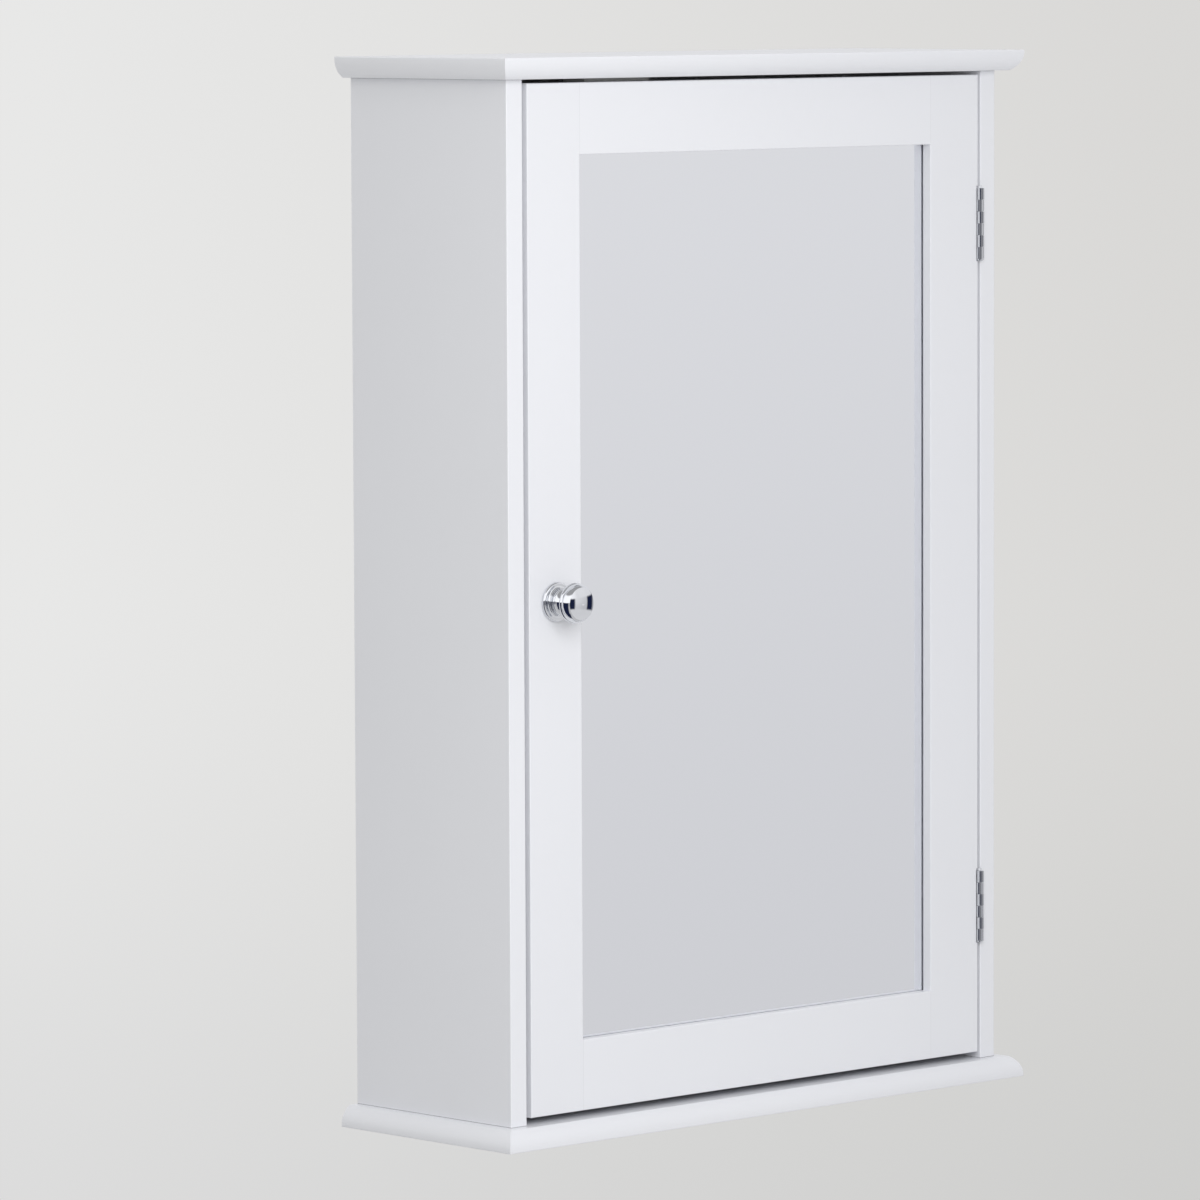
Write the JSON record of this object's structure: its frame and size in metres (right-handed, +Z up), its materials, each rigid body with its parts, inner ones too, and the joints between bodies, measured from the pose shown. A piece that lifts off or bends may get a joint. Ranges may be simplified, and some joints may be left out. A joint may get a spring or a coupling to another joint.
{
  "type": "bathroom mirror cabinet",
  "caption": "Shallow wall cabinet with moulded top and bottom boards and an inset framed mirror door that swings on butt hinges at its right, opened by a round knob.",
  "frame": {"origin": "on the wall plane, midway between the head holes of the two keyhole plates", "axes": "+X to the right seen from the front, +Y into the wall, +Z up"},
  "size_m": [0.363, 0.1329, 0.53],
  "materials": {
    "painted_white": "satin white paint over MDF",
    "hardboard": "brown hardboard, white lacquer on its face",
    "beech": "fluted beech",
    "zinc_steel": "bright zinc plate",
    "chrome": "polished chrome plate",
    "mirror": "silvered glass",
    "foam_tape": "black closed-cell foam",
    "pad_rubber": "soft grey rubber",
    "catch_plastic": "moulded white plastic",
    "ferrite": "dark sintered ferrite"
  },
  "bodies": {
    "cabinet": {"back_nails": "zinc_steel", "back_panel": "hardboard", "bottom_board": "painted_white", "bottom_dowels": "beech", "bottom_screws": "zinc_steel", "catch_body": "catch_plastic", "catch_magnet": "ferrite", "catch_pole_plates": "zinc_steel", "catch_screws": "zinc_steel", "hanging_rail": "painted_white", "hinge_frame_screws": "chrome", "hinge_lower_frame_leaf": "chrome", "hinge_lower_pin": "chrome", "hinge_upper_frame_leaf": "chrome", "hinge_upper_pin": "chrome", "keyhole_plate_left": "zinc_steel", "keyhole_plate_right": "zinc_steel", "keyhole_plate_screws": "zinc_steel", "rail_dowels": "beech", "shelf_lower": "painted_white", "shelf_pins_lower": "zinc_steel", "shelf_pins_upper": "zinc_steel", "shelf_upper": "painted_white", "side_panel_left": "painted_white", "side_panel_right": "painted_white", "top_board": "painted_white", "top_dowels": "beech", "wall_pads": "pad_rubber"},
    "door": {"door_stile_left": "painted_white", "door_stile_right": "painted_white", "door_rail_top": "painted_white", "door_rail_bottom": "painted_white", "door_dowels": "beech", "mirror_pane": "mirror", "mirror_tape": "foam_tape", "mirror_backing": "hardboard", "mirror_clips": "zinc_steel", "mirror_clip_screws": "zinc_steel", "knob_rosette": "chrome", "knob": "chrome", "knob_screw": "zinc_steel", "hinge_upper_door_leaf": "chrome", "hinge_lower_door_leaf": "chrome", "hinge_door_screws": "chrome", "strike_plate": "zinc_steel", "strike_screws": "zinc_steel"}
  },
  "joints": [
    {"name": "door_swing", "type": "hinge", "parent": "cabinet", "child": "door", "pos_m": [0.1594, -0.1141, -0.22775], "axis": [0, 0, 1], "range_deg": [0, 185]}
  ]
}
